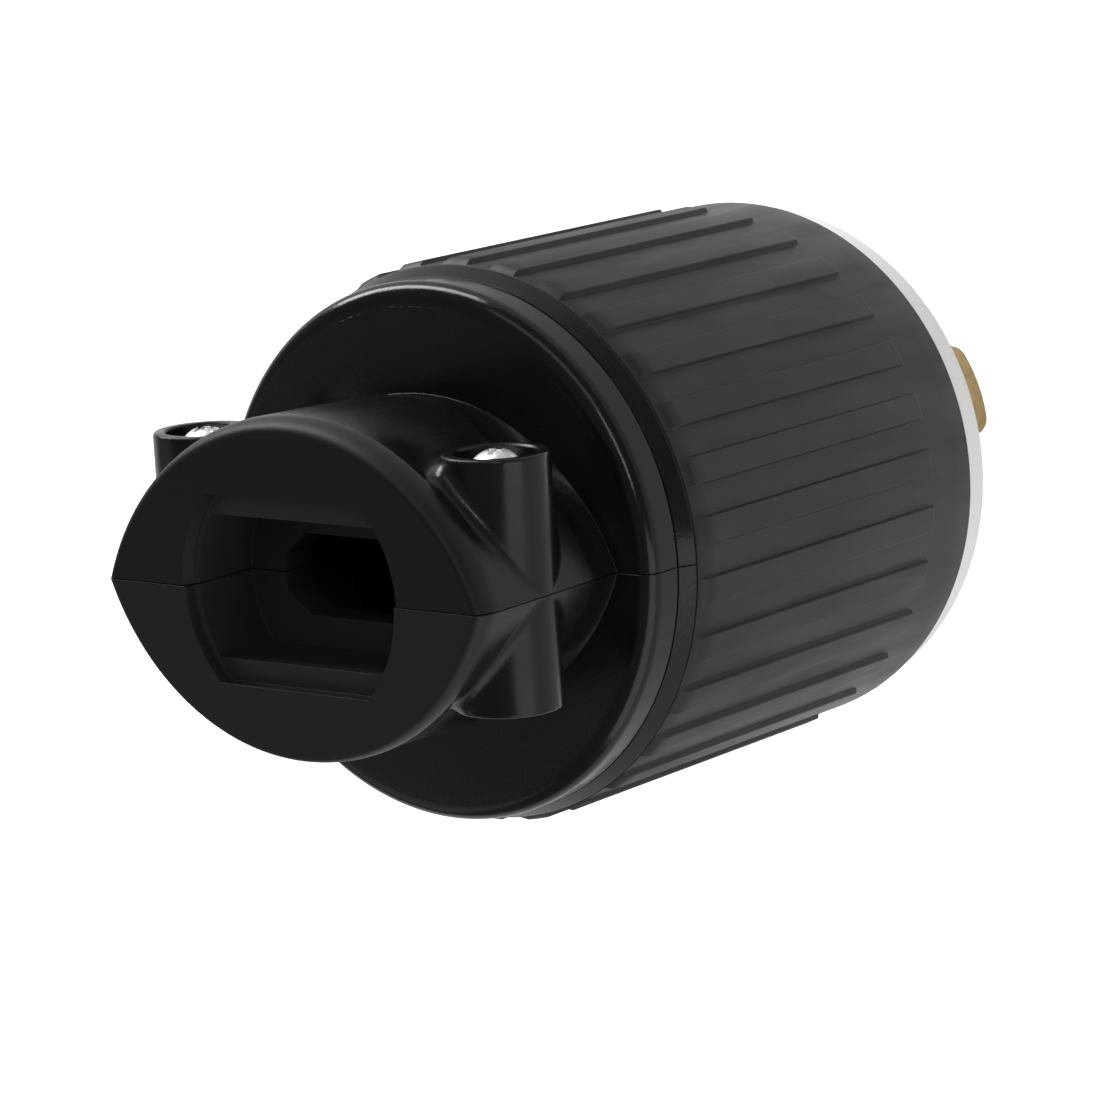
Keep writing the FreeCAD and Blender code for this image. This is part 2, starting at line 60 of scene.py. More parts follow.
camera_data = bpy.data.cameras.new("camera")
camera_data.sensor_width = 36.0
camera_data.lens = focal_pixels / frame_pixels * camera_data.sensor_width
camera_data.clip_start = 0.01
camera = put("camera", camera_data)
camera_back = -camera_look.normalized()
camera_right = camera_up.cross(camera_back).normalized()
camera_turn = Matrix((camera_right, camera_back.cross(camera_right), camera_back)).transposed()
camera.matrix_world = Matrix.Translation(camera_place) @ camera_turn.to_4x4()
bpy.context.scene.camera = camera
bpy.context.scene.view_settings.view_transform = "Standard"


# Studio: a white table under the blades and a white sweep all round. A large box stands low on the plug's
# +X side, a smaller one far behind it, and a narrow strip and two weak boxes on the camera's side. Black
# nylon mirrors the table too, so the paper glows to glossy rays, in zones fitted to the photograph: painted
# reflections of a bright table near the plug, and a painted shadow under it where the glow is cut away.
table_half = 3.0
paper_tone = 0.80
paper_glow = {"beyond": 0.14, "near": 0.95, "floor": 0.33}
glow_zones = {"outward": (0.035, 0.09), "near_end": (0.046, 0.066), "painted_plug_shadow": (0.030, 0.039)}
paper_white = 0.97
world_level = 0.21
lamp_target = Vector((0, 0, 60)) * MM
lamps = {
    "right_box": {"place": (0.85, -0.62, 0.42), "size": (1.6, 0.8), "watts": 7.0},
    "rear_box": {"place": (-0.60, 0.74, 0.08), "size": (0.8, 0.4), "watts": 13.0},
    "top_box": {"place": (0.15, 0.85, 0.80), "size": (1.0, 0.3), "watts": 1.3},
    "left_box": {"place": (-0.756, -0.48, 0.618), "size": (0.8, 0.6), "watts": 0.76},
    "strip_box": {"place": (0.60, 0.43, 0.77), "size": (0.43, 0.10), "watts": 1.2},
}


def add(tree, kind, settings=None, links=None, **values):
    """A node with its settings, its socket values by name, and its links by socket name or number."""
    made = tree.nodes.new(kind)
    for name, value in (settings or {}).items():
        setattr(made, name, value)
    for name, value in values.items():
        made.inputs[name.replace("_", " ")].default_value = value
    for key, source in (links or {}).items():
        tree.links.new(source, made.inputs[key])
    return made


def span(tree, source, low, high, new_low=0.0, new_high=1.0, smooth=True):
    """A socket's range from low to high taken to new_low and new_high."""
    made = add(tree, "ShaderNodeMapRange", {"interpolation_type": "SMOOTHSTEP" if smooth else "LINEAR"},
               {"Value": source})
    made.inputs["From Min"].default_value = low
    made.inputs["From Max"].default_value = high
    made.inputs["To Min"].default_value = new_low
    made.inputs["To Max"].default_value = new_high
    return made.outputs["Result"]


def new_material(name):
    """A material with its tree and its Principled BSDF."""
    material = bpy.data.materials.new(name)
    material.use_nodes = True
    tree = material.node_tree
    return material, tree, tree.nodes["Principled BSDF"]


def paper_material():
    """White paper: white to the camera, with a shadow on it, and a glow by zone to glossy rays, which is
    painted reflection, cut away under the plug as a painted shadow.
    """
    material, tree, shader = new_material("paper")
    shader.inputs["Base Color"].default_value = (paper_tone, paper_tone, paper_tone, 1)
    shader.inputs["Roughness"].default_value = 0.9
    shader.inputs["Specular IOR Level"].default_value = 0.1
    rays = add(tree, "ShaderNodeLightPath")
    place = add(tree, "ShaderNodeTexCoord").outputs["Object"]
    along = add(tree, "ShaderNodeSeparateXYZ", links={0: place}).outputs["Y"]
    # Painted reflection: the glow to glossy rays is strongest near the plug and weaker further out.
    beyond = span(tree, along, *glow_zones["outward"], paper_glow["floor"], paper_glow["beyond"])
    reach = add(tree, "ShaderNodeVectorMath", {"operation": "LENGTH"}, {0: place}).outputs["Value"]
    level = span(tree, reach, *glow_zones["near_end"], paper_glow["near"], 0.0)
    tree.links.new(beyond, level.node.inputs["To Max"])
    # Painted shadow: the glossy glow is cut away under the plug.
    clear = span(tree, reach, *glow_zones["painted_plug_shadow"])
    lit = add(tree, "ShaderNodeMath", {"operation": "MULTIPLY"}, {0: level, 1: clear})
    mirrored = add(tree, "ShaderNodeMath", {"operation": "MULTIPLY"},
                   {0: rays.outputs["Is Glossy Ray"], 1: lit.outputs[0]})
    seen = add(tree, "ShaderNodeMath", {"operation": "MULTIPLY"}, {0: rays.outputs["Is Camera Ray"]})
    seen.inputs[1].default_value = paper_white
    lift = add(tree, "ShaderNodeMath", {"operation": "MAXIMUM"}, {0: seen.outputs[0], 1: mirrored.outputs[0]})
    glow = add(tree, "ShaderNodeEmission", links={"Strength": lift.outputs[0]})
    both = add(tree, "ShaderNodeAddShader", links={0: shader.outputs[0], 1: glow.outputs[0]})
    tree.links.new(both.outputs[0], tree.nodes["Material Output"].inputs["Surface"])
    return material


def make_table():
    mesh = bpy.data.meshes.new("table")
    h = table_half
    mesh.from_pydata([(-h, -h, 0), (h, -h, 0), (h, h, 0), (-h, h, 0)], [], [(0, 1, 2, 3)])
    mesh.materials.append(paper_material())
    put("table", mesh)


def make_lamp(name, place, size, watts):
    data = bpy.data.lights.new(name, "AREA")
    data.shape = "RECTANGLE"
    data.size, data.size_y = size
    data.energy = watts
    lamp = put(name, data)
    lamp.location = place
    lamp.rotation_euler = (lamp_target - Vector(place)).to_track_quat("-Z", "Y").to_euler()


def make_world():
    """An even, weak sky that the camera sees as white."""
    world = bpy.data.worlds.new("studio")
    world.use_nodes = True
    tree = world.node_tree
    plain = tree.nodes["Background"]
    plain.inputs["Color"].default_value = (1, 1, 1, 1)
    plain.inputs["Strength"].default_value = world_level
    white = add(tree, "ShaderNodeBackground", Color=(1, 1, 1, 1))
    rays = add(tree, "ShaderNodeLightPath")
    mix = add(tree, "ShaderNodeMixShader",
              links={0: rays.outputs["Is Camera Ray"], 1: plain.outputs[0], 2: white.outputs[0]})
    tree.links.new(mix.outputs[0], tree.nodes["World Output"].inputs["Surface"])
    bpy.context.scene.world = world


make_table()
make_world()
for lamp_name, lamp_values in lamps.items():
    make_lamp(lamp_name, **lamp_values)


# Shared effects of the materials: node groups that put out masks and normals only. They read Object
# coordinates, which are the plug's own, in metres.
def stretched(tree, place, stretch):
    """A place with each coordinate multiplied, which draws a pattern out where the factor is small."""
    made = add(tree, "ShaderNodeVectorMath", {"operation": "MULTIPLY"}, {0: place})
    made.inputs[1].default_value = stretch
    return made.outputs[0]


def new_group(name, inputs, outputs):
    tree = bpy.data.node_groups.new(name, "ShaderNodeTree")
    for socket, value in inputs.items():
        made = tree.interface.new_socket(name=socket, in_out="INPUT", socket_type="NodeSocketFloat")
        made.default_value = value
    for socket, kind in outputs.items():
        tree.interface.new_socket(name=socket, in_out="OUTPUT", socket_type=kind)
    return tree, tree.nodes.new("NodeGroupInput"), tree.nodes.new("NodeGroupOutput")


def noise(tree, place, scale, detail=3.0, roughness=0.5):
    return add(tree, "ShaderNodeTexNoise", links={"Vector": place}, Scale=scale, Detail=detail,
               Roughness=roughness).outputs[0]


def moulded_group():
    """Moulded nylon: fine spark-eroded grain, cloudy gloss, and edges softened by the mould."""
    tree, given, out = new_group(
        "moulded_nylon", {"Grain": 2600.0, "Depth": 0.000012, "Edge": 0.00015},
        {"Shade": "NodeSocketFloat", "Gloss": "NodeSocketFloat", "Normal": "NodeSocketVector"})
    place = add(tree, "ShaderNodeTexCoord").outputs["Object"]
    grain = add(tree, "ShaderNodeTexNoise", links={"Vector": place, "Scale": given.outputs["Grain"]},
                Detail=2.0, Roughness=0.6)
    soft = add(tree, "ShaderNodeBevel", {"samples": 4}, {"Radius": given.outputs["Edge"]})
    bump = add(tree, "ShaderNodeBump", links={"Height": grain.outputs[0], "Normal": soft.outputs["Normal"],
                                              "Distance": given.outputs["Depth"]})
    cloud = noise(tree, place, 75.0)
    flow = noise(tree, stretched(tree, place, (1.0, 1.0, 0.25)), 260.0, 4.0, 0.55)
    tree.links.new(span(tree, cloud, 0.3, 0.7), out.inputs["Shade"])
    tree.links.new(span(tree, flow, 0.3, 0.7), out.inputs["Gloss"])
    tree.links.new(bump.outputs["Normal"], out.inputs["Normal"])
    return tree


def metal_group():
    """Worked metal: drawing lines along Z, blotches of tarnish, and rubbed edges from the edge attribute."""
    tree, given, out = new_group(
        "worked_metal", {"Lines": 5200.0, "Depth": 0.000006},
        {"Tarnish": "NodeSocketFloat", "Rub": "NodeSocketFloat", "Normal": "NodeSocketVector"})
    place = add(tree, "ShaderNodeTexCoord").outputs["Object"]
    drawn = stretched(tree, place, (1.0, 1.0, 0.03))
    lines = add(tree, "ShaderNodeTexNoise", links={"Vector": drawn, "Scale": given.outputs["Lines"]},
                Detail=2.0)
    bump = add(tree, "ShaderNodeBump", links={"Height": lines.outputs[0], "Distance": given.outputs["Depth"]})
    blotch = noise(tree, place, 190.0, 5.0, 0.6)
    edge = add(tree, "ShaderNodeAttribute", {"attribute_name": "edge"})
    worn = add(tree, "ShaderNodeMath", {"operation": "MULTIPLY", "use_clamp": True},
               {0: edge.outputs["Fac"], 1: span(tree, noise(tree, place, 900.0), 0.25, 0.6, 0.4, 1.0)})
    tree.links.new(span(tree, blotch, 0.42, 0.68), out.inputs["Tarnish"])
    tree.links.new(worn.outputs[0], out.inputs["Rub"])
    tree.links.new(bump.outputs["Normal"], out.inputs["Normal"])
    return tree


moulded = moulded_group()
worked = metal_group()


def use_group(tree, group, **values):
    made = tree.nodes.new("ShaderNodeGroup")
    made.node_tree = group
    for name, value in values.items():
        made.inputs[name].default_value = value
    return made


def mix_color(tree, factor, low, high):
    """Colour from low to high as factor goes from 0 to 1. Each end is a colour or a socket."""
    made = add(tree, "ShaderNodeMix", {"data_type": "RGBA"}, {0: factor})
    for index, end in ((6, low), (7, high)):
        if isinstance(end, tuple):
            made.inputs[index].default_value = (*end, 1)
        else:
            tree.links.new(end, made.inputs[index])
    return made.outputs[2]


# Grip: the ribbed sleeve, one black nylon moulding. Thirty low ribs run from a smooth band at the front
# to the rear end, where they leave a scalloped edge. Inside are a plain bore and a rear wall.
sleeve_z = 22.9
sleeve_top_z = 73.5
rib_start_z = sleeve_z + 7.8
grip_r = 29.0
rib_height = 0.5
rib_count = 30
rib_width_deg = 6.2
rib_flank_deg = 0.55
rib_run_in = 0.45
grip_bore_r = 26.0
lip_r = 23.2
lip_thick = 2.5
column_z = 50.0
column_length = 12.0
front_edge = 0.5
rear_edge = 0.12
rib_end_slope = 1.944
flank_margin_deg = 0.12
flat_loop_deg = 1.2
merge_gap = 0.002


def nylon_material(name, dark, light, gloss, specular, grain, depth, edge):
    """Black or white nylon. The colour clouds a little, and the gloss follows the flow of the melt."""
    material, tree, shader = new_material(name)
    skin = use_group(tree, moulded, Grain=grain, Depth=depth, Edge=edge)
    tree.links.new(mix_color(tree, skin.outputs["Shade"], dark, light), shader.inputs["Base Color"])
    rough = span(tree, skin.outputs["Gloss"], 0.0, 1.0, *gloss, False)
    tree.links.new(rough, shader.inputs["Roughness"])
    tree.links.new(skin.outputs["Normal"], shader.inputs["Normal"])
    shader.inputs["Specular IOR Level"].default_value = specular
    return material


def link_piece(mesh, name, material, body, slot, *nodes):
    """A finished mesh as a piece that rides on its body and stands for its CAD nodes."""
    mesh.name = name
    piece = put(name, mesh)
    mesh.materials.clear()
    mesh.materials.append(material)
    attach(piece, body)
    if nodes:
        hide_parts(*nodes)
    return piece


def smooth_by_angle(mesh, degrees):
    mesh.polygons.foreach_set("use_smooth", [True] * len(mesh.polygons))
    mesh.set_sharp_from_angle(angle=radians(degrees))
    mesh.update()


def ease(x):
    x = min(max(x, 0.0), 1.0)
    return x * x * (3 - 2 * x)


def mesh_from(bm, name):
    """The mesh of a finished bmesh, which is freed."""
    mesh = bpy.data.meshes.new(name)
    bm.to_mesh(mesh)
    bm.free()
    return mesh


def finished(thing):
    """The mesh of an object with its modifiers done."""
    bpy.context.view_layer.update()
    return bpy.data.meshes.new_from_object(thing.evaluated_get(bpy.context.evaluated_depsgraph_get()))


def rounding(radius, steps=4):
    """(inward, along) steps round a quarter circle, from the side face to the end face."""
    turns = [pi / 2 * k / steps for k in range(steps + 1)]
    return [(radius * (1 - cos(t)), radius * (1 - sin(t))) for t in turns]


def rib_rise(offset_deg, z):
    """Height of the rib above the valley, at an angle from the rib's middle and a level."""
    half = rib_width_deg / 2
    across = ease((half - abs(offset_deg)) / rib_flank_deg)
    return rib_height * across * ease((z - rib_start_z) / rib_run_in)


def pitch_mesh():
    """One pitch of the grip: a closed band of (radius, level) loops at a few angles across a rib."""
    pitch = 360.0 / rib_count
    half, flank = rib_width_deg / 2, rib_flank_deg
    flank_steps = [half - flank * share for share in (0.0, 0.15, 0.35, 0.5, 0.65, 0.85, 1.0)]
    side = [pitch / 2, pitch / 2 - flat_loop_deg, half + flank_margin_deg] + flank_steps
    side += [half - flank - flank_margin_deg, flat_loop_deg]
    angles = [-a for a in side] + [0.0] + side[::-1]
    levels = [sleeve_z + front_edge, sleeve_z + 3.0, rib_start_z - 0.1]
    levels += [rib_start_z + rib_run_in * k / 5 for k in range(6)] + [rib_start_z + 0.6, rib_start_z + 12.0]
    levels += [sleeve_top_z - 18.0, sleeve_top_z - 3.0]
    bm = bmesh.new()
    columns = []
    for offset in angles:
        loop = [(grip_bore_r, sleeve_z)]
        loop += [(grip_r - inward, sleeve_z + along) for inward, along in reversed(rounding(front_edge))]
        loop += [(grip_r + rib_rise(offset, z), z) for z in levels[1:]]
        rise = rib_rise(offset, sleeve_top_z)
        rib_end_z = sleeve_top_z - rise * rib_end_slope
        loop += [(grip_r + rise, rib_end_z - rear_edge)]
        loop += [(grip_r + rise - rear_edge / 4, rib_end_z - rear_edge / 2)]
        loop += [(grip_r - rear_edge / 3, sleeve_top_z - rear_edge / 4), (grip_r - rear_edge, sleeve_top_z)]
        loop += [(lip_r, sleeve_top_z)]
        loop += [(lip_r, sleeve_top_z - lip_thick), (grip_bore_r, sleeve_top_z - lip_thick)]
        turn = radians(offset + pitch / 2)
        columns.append([bm.verts.new((r * cos(turn) * MM, r * sin(turn) * MM, z * MM)) for r, z in loop])
    for left, right in zip(columns, columns[1:]):
        for k in range(len(left)):
            after = (k + 1) % len(left)
            bm.faces.new((left[k], right[k], right[after], left[after]))
    bmesh.ops.recalc_face_normals(bm, faces=bm.faces)
    return mesh_from(bm, "grip_pitch")


def ring_group():
    """Copies of a piece turned about Z, joined where they meet."""
    tree = bpy.data.node_groups.new("ring_of_copies", "GeometryNodeTree")
    face = tree.interface
    face.new_socket(name="Geometry", in_out="INPUT", socket_type="NodeSocketGeometry")
    face.new_socket(name="Count", in_out="INPUT", socket_type="NodeSocketInt")
    face.new_socket(name="Material", in_out="INPUT", socket_type="NodeSocketMaterial")
    face.new_socket(name="Geometry", in_out="OUTPUT", socket_type="NodeSocketGeometry")
    given, out = tree.nodes.new("NodeGroupInput"), tree.nodes.new("NodeGroupOutput")
    points = add(tree, "GeometryNodePoints", links={"Count": given.outputs["Count"]})
    index = add(tree, "GeometryNodeInputIndex")
    share = add(tree, "ShaderNodeMath", {"operation": "DIVIDE"},
                {0: index.outputs[0], 1: given.outputs["Count"]})
    turn = add(tree, "ShaderNodeMath", {"operation": "MULTIPLY"}, {0: share.outputs[0]})
    turn.inputs[1].default_value = 2 * pi
    about_z = add(tree, "ShaderNodeCombineXYZ", links={"Z": turn.outputs[0]})
    copies = add(tree, "GeometryNodeInstanceOnPoints",
                 links={"Points": points.outputs[0], "Instance": given.outputs["Geometry"],
                        "Rotation": about_z.outputs[0]})
    real = add(tree, "GeometryNodeRealizeInstances", links={0: copies.outputs[0]})
    joined = add(tree, "GeometryNodeMergeByDistance", links={"Geometry": real.outputs[0]}, Distance=0.000001)
    painted = add(tree, "GeometryNodeSetMaterial",
                  links={"Geometry": joined.outputs[0], "Material": given.outputs["Material"]})
    tree.links.new(painted.outputs[0], out.inputs[0])
    return tree


def run_nodes(mesh, group, **values):
    """The mesh that a Geometry Nodes group makes from another mesh."""
    holder = put("holder", mesh)
    modifier = holder.modifiers.new("nodes", "NODES")
    modifier.node_group = group
    sockets = {item.name: item.identifier for item in group.interface.items_tree if item.in_out == "INPUT"}
    for name, value in values.items():
        modifier[sockets[name]] = value
    made = finished(holder)
    holder.modifiers.remove(modifier)
    bpy.data.objects.remove(holder)
    return made


def add_columns(mesh):
    """Join the two screw columns of the bore, which are the construction model's own faces."""
    bm = bmesh.new()
    bm.from_mesh(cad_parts["grip_sleeve"].data)
    low, high = (column_z - 0.01) * MM, (column_z + column_length + 0.01) * MM
    bore = (grip_bore_r + 0.05) * MM
    spare = [f for f in bm.faces
             if any(not low < v.co.z < high or hypot(v.co.x, v.co.y) > bore for v in f.verts)]
    bmesh.ops.delete(bm, geom=spare, context="FACES")
    bmesh.ops.remove_doubles(bm, verts=bm.verts, dist=merge_gap * MM)
    bm.from_mesh(mesh)
    bm.to_mesh(mesh)
    bm.free()


grip_nylon = nylon_material("grip_nylon", dark=(0.0066, 0.0066, 0.0068), light=(0.0090, 0.0090, 0.0092),
                            gloss=(0.44, 0.54), specular=0.34, grain=2600.0, depth=0.000010, edge=0.00004)
grip_mesh = run_nodes(pitch_mesh(), ring_group(), Count=rib_count, Material=grip_nylon)
add_columns(grip_mesh)
smooth_by_angle(grip_mesh, 34)
link_piece(grip_mesh, "ribbed_grip", grip_nylon, "plug_body", "grip", "grip_sleeve")


# Clamp halves: two black nylon mouldings that meet on the parting plane. The flat end is matt from the
# mould's texture, and the disc, neck and bosses are glossy. The outer band is made here, with a softer
# border than the solid's, and the rest is the solid's own surface.
end_z = 102.4
disc_z = 80.1
shoulder_r = 28.0
disc_round = 1.8
border_inner_r = 25.6
collar_r = 28.9
collar_low_z = 73.65
collar_high_z = 75.4
groove = 0.25
half_gap = 0.05
border_steps = 256
round_steps = 12
passage = (13.4, 9.7)
passage_rim = 0.9
core_low_z, core_high_z, core_wide_r, core_lift = 60.0, 110.0, 40.0, 0.02
flat_fade = (3.2, 0.2)
border_fade = (2.2, 1.6)
border_polish = 0.6
shell_rough = {"glossy": (0.22, 0.29), "matt": 0.52}
# The flat end tones are painted light: a darker upper half and a lighter lower half, lit from below.
shell_tone = {"glossy": ((0.0047, 0.0047, 0.0049), (0.0066, 0.0066, 0.0068)),
              "flat_end_painted_light": ((0.0035, 0.0035, 0.0036), (0.0105, 0.0105, 0.0107)),
              # The passage tone is painted light: paler than the rest, for light reaching into it.
              "inside": (0.019, 0.019, 0.0193)}
shell_specular = 0.25


def shell_material():
    """Black nylon of the halves: glossy, and matt on the flat end and inside the passage. The flat end's lower
    half is painted lighter than its upper half, painted light from below, and the passage is painted paler,
    painted light inside it.
    """
    material, tree, shader = new_material("shell_nylon")
    skin = use_group(tree, moulded, Grain=2200.0, Depth=0.000012, Edge=0.00018)
    place = add(tree, "ShaderNodeTexCoord").outputs["Object"]
    parts = add(tree, "ShaderNodeSeparateXYZ", links={0: place})
    level = parts.outputs["Z"]
    flattened = add(tree, "ShaderNodeCombineXYZ", links={"X": parts.outputs["X"], "Y": parts.outputs["Y"]})
    reach = add(tree, "ShaderNodeVectorMath", {"operation": "LENGTH"}, {0: flattened.outputs[0]})
    shine = span(tree, reach.outputs["Value"], *((shoulder_r - inward) * MM for inward in border_fade),
                 1.0, border_polish)
    flat = span(tree, level, *((end_z - below) * MM for below in flat_fade))
    inside = add(tree, "ShaderNodeAttribute", {"attribute_name": "inside"}).outputs["Fac"]
    matt = add(tree, "ShaderNodeMath", {"operation": "MAXIMUM"}, {0: flat, 1: inside}).outputs[0]
    glossy = span(tree, skin.outputs["Gloss"], 0.0, 1.0, *shell_rough["glossy"], False)
    polished = add(tree, "ShaderNodeMath", {"operation": "MULTIPLY"}, {0: glossy, 1: shine}).outputs[0]
    rough = add(tree, "ShaderNodeMix", {"data_type": "FLOAT"}, {0: matt, 2: polished})
    rough.inputs[3].default_value = shell_rough["matt"]
    tree.links.new(rough.outputs[0], shader.inputs["Roughness"])
    plain = mix_color(tree, skin.outputs["Shade"], *shell_tone["glossy"])
    # Painted light: the lower half of the flat end takes the lighter tone.
    lower = span(tree, parts.outputs["Y"], -0.0001, 0.0001, 1.0, 0.0)
    painted_flat_end = mix_color(tree, lower, *shell_tone["flat_end_painted_light"])
    # Painted light: the passage is painted paler than the flat end and the glossy outside.
    dull = mix_color(tree, inside, painted_flat_end, shell_tone["inside"])
    tree.links.new(mix_color(tree, matt, plain, dull), shader.inputs["Base Color"])
    tree.links.new(skin.outputs["Normal"], shader.inputs["Normal"])
    shader.inputs["Specular IOR Level"].default_value = shell_specular
    return material


def lathe(outline, segments=48, offset=0.0):
    """A closed solid turned about Z from (radius, level) points in millimetres, both ends on the axis."""
    bm = bmesh.new()
    rings = []
    for r, z in outline:
        count = 1 if r == 0 else segments
        turns = [2 * pi * (k + offset) / count for k in range(count)]
        rings.append([bm.verts.new((r * cos(t) * MM, r * sin(t) * MM, z * MM)) for t in turns])
    for low, high in zip(rings, rings[1:]):
        for k in range(segments):
            after = k + 1
            corners = [low[k % len(low)], low[after % len(low)], high[after % len(high)], high[k % len(high)]]
            bm.faces.new(list(dict.fromkeys(corners)))
    bmesh.ops.recalc_face_normals(bm, faces=bm.faces)
    return bm


def border_half(side):
    """The outer band of a half: rolled-off border of the disc, shoulder, fine groove and sloping collar."""
    turns = [pi / 2 * k / round_steps for k in range(round_steps + 1)]
    flat_r = shoulder_r - disc_round
    outline = [(border_inner_r, disc_z)]
    outline += [(flat_r + disc_round * sin(t), disc_z - disc_round * (1 - cos(t))) for t in turns]
    outline += [(shoulder_r, collar_high_z + groove), (shoulder_r - groove, collar_high_z + groove),
                (shoulder_r - groove, collar_high_z), (shoulder_r, collar_high_z), (collar_r, collar_low_z),
                (border_inner_r, collar_low_z)]
    bm = bmesh.new()
    columns = []
    for turn in [0.0] + [2 * pi * (k + 0.5) / border_steps for k in range(border_steps // 2)] + [pi]:
        column = []
        for r, z in outline:
            y = max(r * sin(turn), half_gap)
            x = r * cos(turn) if y > half_gap else cos(turn) * (r * r - y * y) ** 0.5
            column.append(bm.verts.new((x * MM, side * y * MM, z * MM)))
        columns.append(column)
    for left, right in zip(columns, columns[1:]):
        for k in range(len(outline)):
            after = (k + 1) % len(outline)
            bm.faces.new((left[k], right[k], right[after], left[after]))
    caps = [bm.faces.new(columns[0]), bm.faces.new(columns[-1])]
    bmesh.ops.recalc_face_normals(bm, faces=bm.faces)
    bmesh.ops.triangulate(bm, faces=caps)
    border = mesh_from(bm, "border")
    smooth_by_angle(border, 30)
    return border


def core_cutter():
    """What a half keeps of its CAD shape: all above the disc, and below that what lies inside the band."""
    above = disc_z + core_lift
    outline = [(0, core_low_z), (border_inner_r, core_low_z), (border_inner_r, above),
               (core_wide_r, above), (core_wide_r, core_high_z), (0, core_high_z)]
    return mesh_from(lathe(outline, border_steps, 0.5), "core")


def set_exact_normals(mesh):
    """Give each corner the normal in the corner layer, and a cut face its own normal."""
    layer = mesh.attributes["exact"]
    normals = []
    for polygon in mesh.polygons:
        for corner in polygon.loop_indices:
            given = layer.data[corner].vector
            normals.append(given.normalized() if given.length > 0.5 else polygon.normal.copy())
    mesh.attributes.remove(layer)
    mesh.polygons.foreach_set("use_smooth", [True] * len(mesh.polygons))
    mesh.normals_split_custom_set(normals)
    mesh.update()


def softened_half(node, side):
    """A clamp half whose disc has a wide, soft border. The rest keeps the CAD shape and its exact normals."""
    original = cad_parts[node].data
    exact = [Vector(corner.vector) for corner in original.corner_normals]
    bm = bmesh.new()
    bm.from_mesh(original)
    layer = bm.loops.layers.float_vector.new("exact")
    bm.faces.ensure_lookup_table()
    for face, polygon in zip(bm.faces, original.polygons):
        for loop, corner in zip(face.loops, polygon.loop_indices):
            loop[layer] = exact[corner]
    bmesh.ops.remove_doubles(bm, verts=bm.verts, dist=merge_gap * MM)
    half = put("half", mesh_from(bm, "half"))
    cutter = put("core", core_cutter())
    core = half.modifiers.new("core", "BOOLEAN")
    core.operation = "INTERSECT"
    core.object = cutter
    half.data = finished(half)
    half.modifiers.clear()
    set_exact_normals(half.data)
    rim = put("rim", border_half(side))
    weighted = rim.modifiers.new("weighted", "WEIGHTED_NORMAL")
    weighted.keep_sharp = True
    rim.data = finished(rim)
    rim.modifiers.clear()
    with bpy.context.temp_override(active_object=half, selected_editable_objects=[half, rim]):
        bpy.ops.object.join()
    mesh = half.data
    inside = mesh.attributes.new("inside", "FLOAT", "FACE")
    for polygon, value in zip(mesh.polygons, inside.data):
        middle = polygon.center
        value.value = float(hypot(middle.x, middle.y) < passage[0] * MM and abs(middle.y) < passage[1] * MM
                            and middle.z < (end_z - passage_rim) * MM)
    for thing in (half, cutter):
        bpy.data.objects.remove(thing)
    return mesh


shell_nylon = shell_material()
for node, body, side in (("clamp_upper", "loose_clamp_half", 1), ("clamp_lower", "plug_body", -1)):
    link_piece(softened_half(node, side), "moulded_" + node, shell_nylon, body, "shell", node)


# White face: a white nylon moulding whose spigot sits in the front of the grip. Behind it the terminal
# block, of duller nylon, keeps the four terminals apart. Both show the solid's own surface.
def dress(material, *nodes):
    """Give CAD nodes that show as they are a material."""
    for name in nodes:
        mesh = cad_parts[name].data
        mesh.materials.clear()
        mesh.materials.append(material)


white_nylon = nylon_material("white_nylon", dark=(0.84, 0.835, 0.82), light=(0.88, 0.875, 0.865),
                             gloss=(0.36, 0.48), specular=0.45, grain=1800.0, depth=0.000010, edge=0.0002)
block_nylon = nylon_material("block_nylon", dark=(0.66, 0.65, 0.61), light=(0.72, 0.71, 0.67),
                             gloss=(0.42, 0.55), specular=0.40, grain=1500.0, depth=0.000014, edge=0.0002)
dress(white_nylon, "white_face")
dress(block_nylon, "terminal_block")


# Blades and terminals: blanked from rolled brass, with drawing lines along them, a little tarnish and
# bright rubbed edges. The pressure plates and the inserts are brass too.
blade_angles = {"line_x": 20.5, "ground": 110.5, "line_y": 200.5, "neutral": 290.5}
blade_edge = 0.12
plate_edge = 0.12
insert_edge = 0.1


def metal_material(name, color, dull, bright, rough, lines, depth):
    """Metal that is dull in its tarnish and bright where its edges are rubbed."""
    material, tree, shader = new_material(name)
    skin = use_group(tree, worked, Lines=lines, Depth=depth)
    toned = mix_color(tree, skin.outputs["Tarnish"], color, dull)
    tree.links.new(mix_color(tree, skin.outputs["Rub"], toned, bright), shader.inputs["Base Color"])
    roughness = span(tree, skin.outputs["Tarnish"], 0.0, 1.0, *rough, False)
    tree.links.new(roughness, shader.inputs["Roughness"])
    tree.links.new(skin.outputs["Normal"], shader.inputs["Normal"])
    shader.inputs["Metallic"].default_value = 1.0
    return material


def round_edges(mesh, width, degrees=35.0, segments=2):
    """Flat faces joined and sharp edges rounded, in place. The rounding carries edge = 1."""
    bm = bmesh.new()
    bm.from_mesh(mesh)
    bmesh.ops.remove_doubles(bm, verts=bm.verts, dist=merge_gap * MM)
    bmesh.ops.dissolve_limit(bm, angle_limit=radians(0.6), verts=bm.verts, edges=bm.edges)
    sharp = [e for e in bm.edges if len(e.link_faces) == 2 and e.calc_face_angle(0.0) > radians(degrees)]
    rounded = bmesh.ops.bevel(bm, geom=sharp, offset=width * MM, offset_type="OFFSET", segments=segments,
                              profile=0.5, affect="EDGES", clamp_overlap=True)
    layer = bm.verts.layers.float.new("edge")
    for face in rounded["faces"]:
        for vert in face.verts:
            vert[layer] = 1.0
    bmesh.ops.triangulate(bm, faces=[f for f in bm.faces if len(f.verts) > 4])
    bm.to_mesh(mesh)
    bm.free()
    smooth_by_angle(mesh, 30)


def copy_rounded(node, width):
    """A copy of a CAD node's mesh with its edges rounded."""
    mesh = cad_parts[node].data.copy()
    round_edges(mesh, width)
    return mesh


